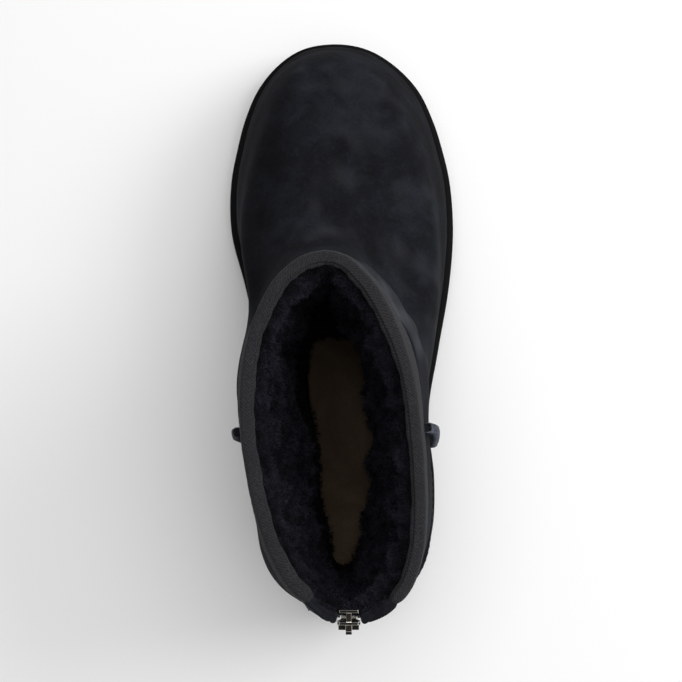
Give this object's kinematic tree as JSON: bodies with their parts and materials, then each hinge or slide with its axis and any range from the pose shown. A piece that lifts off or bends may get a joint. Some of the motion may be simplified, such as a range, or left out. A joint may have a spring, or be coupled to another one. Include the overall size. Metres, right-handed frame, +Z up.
{
  "type": "sheepskin ankle boot",
  "caption": "Low suede sheepskin boot for the right foot with a fleece-lined shaft, bound collar, raised side seams, back zip with swinging pull, and thick flat sole.",
  "frame": {"origin": "middle of the underside of the boot's bounding box, on the floor", "axes": "+X towards the outer (little toe) side of the right foot, +Y towards the toe, +Z up"},
  "size_m": [0.105, 0.2648, 0.1514],
  "materials": {
    "suede": "dyed suede with short nap, fleece on the inside",
    "binding_knit": "ribbed woven binding",
    "sole_rubber": "light foam rubber, matt",
    "insole_leather": "brown, worn smooth",
    "zip_tape": "woven tape",
    "zip_metal": "bright nickel"
  },
  "bodies": {
    "boot": {"outsole": "sole_rubber", "insole": "insole_leather", "upper": "suede", "heel_counter": "suede", "side_seam_outer": "suede", "side_seam_inner": "suede", "collar_binding": "binding_knit", "zip_tape_outer": "zip_tape", "zip_tape_inner": "zip_tape", "zip_facing_outer": "suede", "zip_facing_inner": "suede", "zip_teeth": "zip_metal", "zip_slider": "zip_metal"},
    "pull": {"zip_pull": "zip_metal"}
  },
  "joints": [
    {"name": "pull_hinge", "type": "hinge", "parent": "boot", "child": "pull", "pos_m": [0.00261, -0.12422, 0.1376], "axis": [-1, 0, 0], "range_deg": [0, 165]}
  ]
}
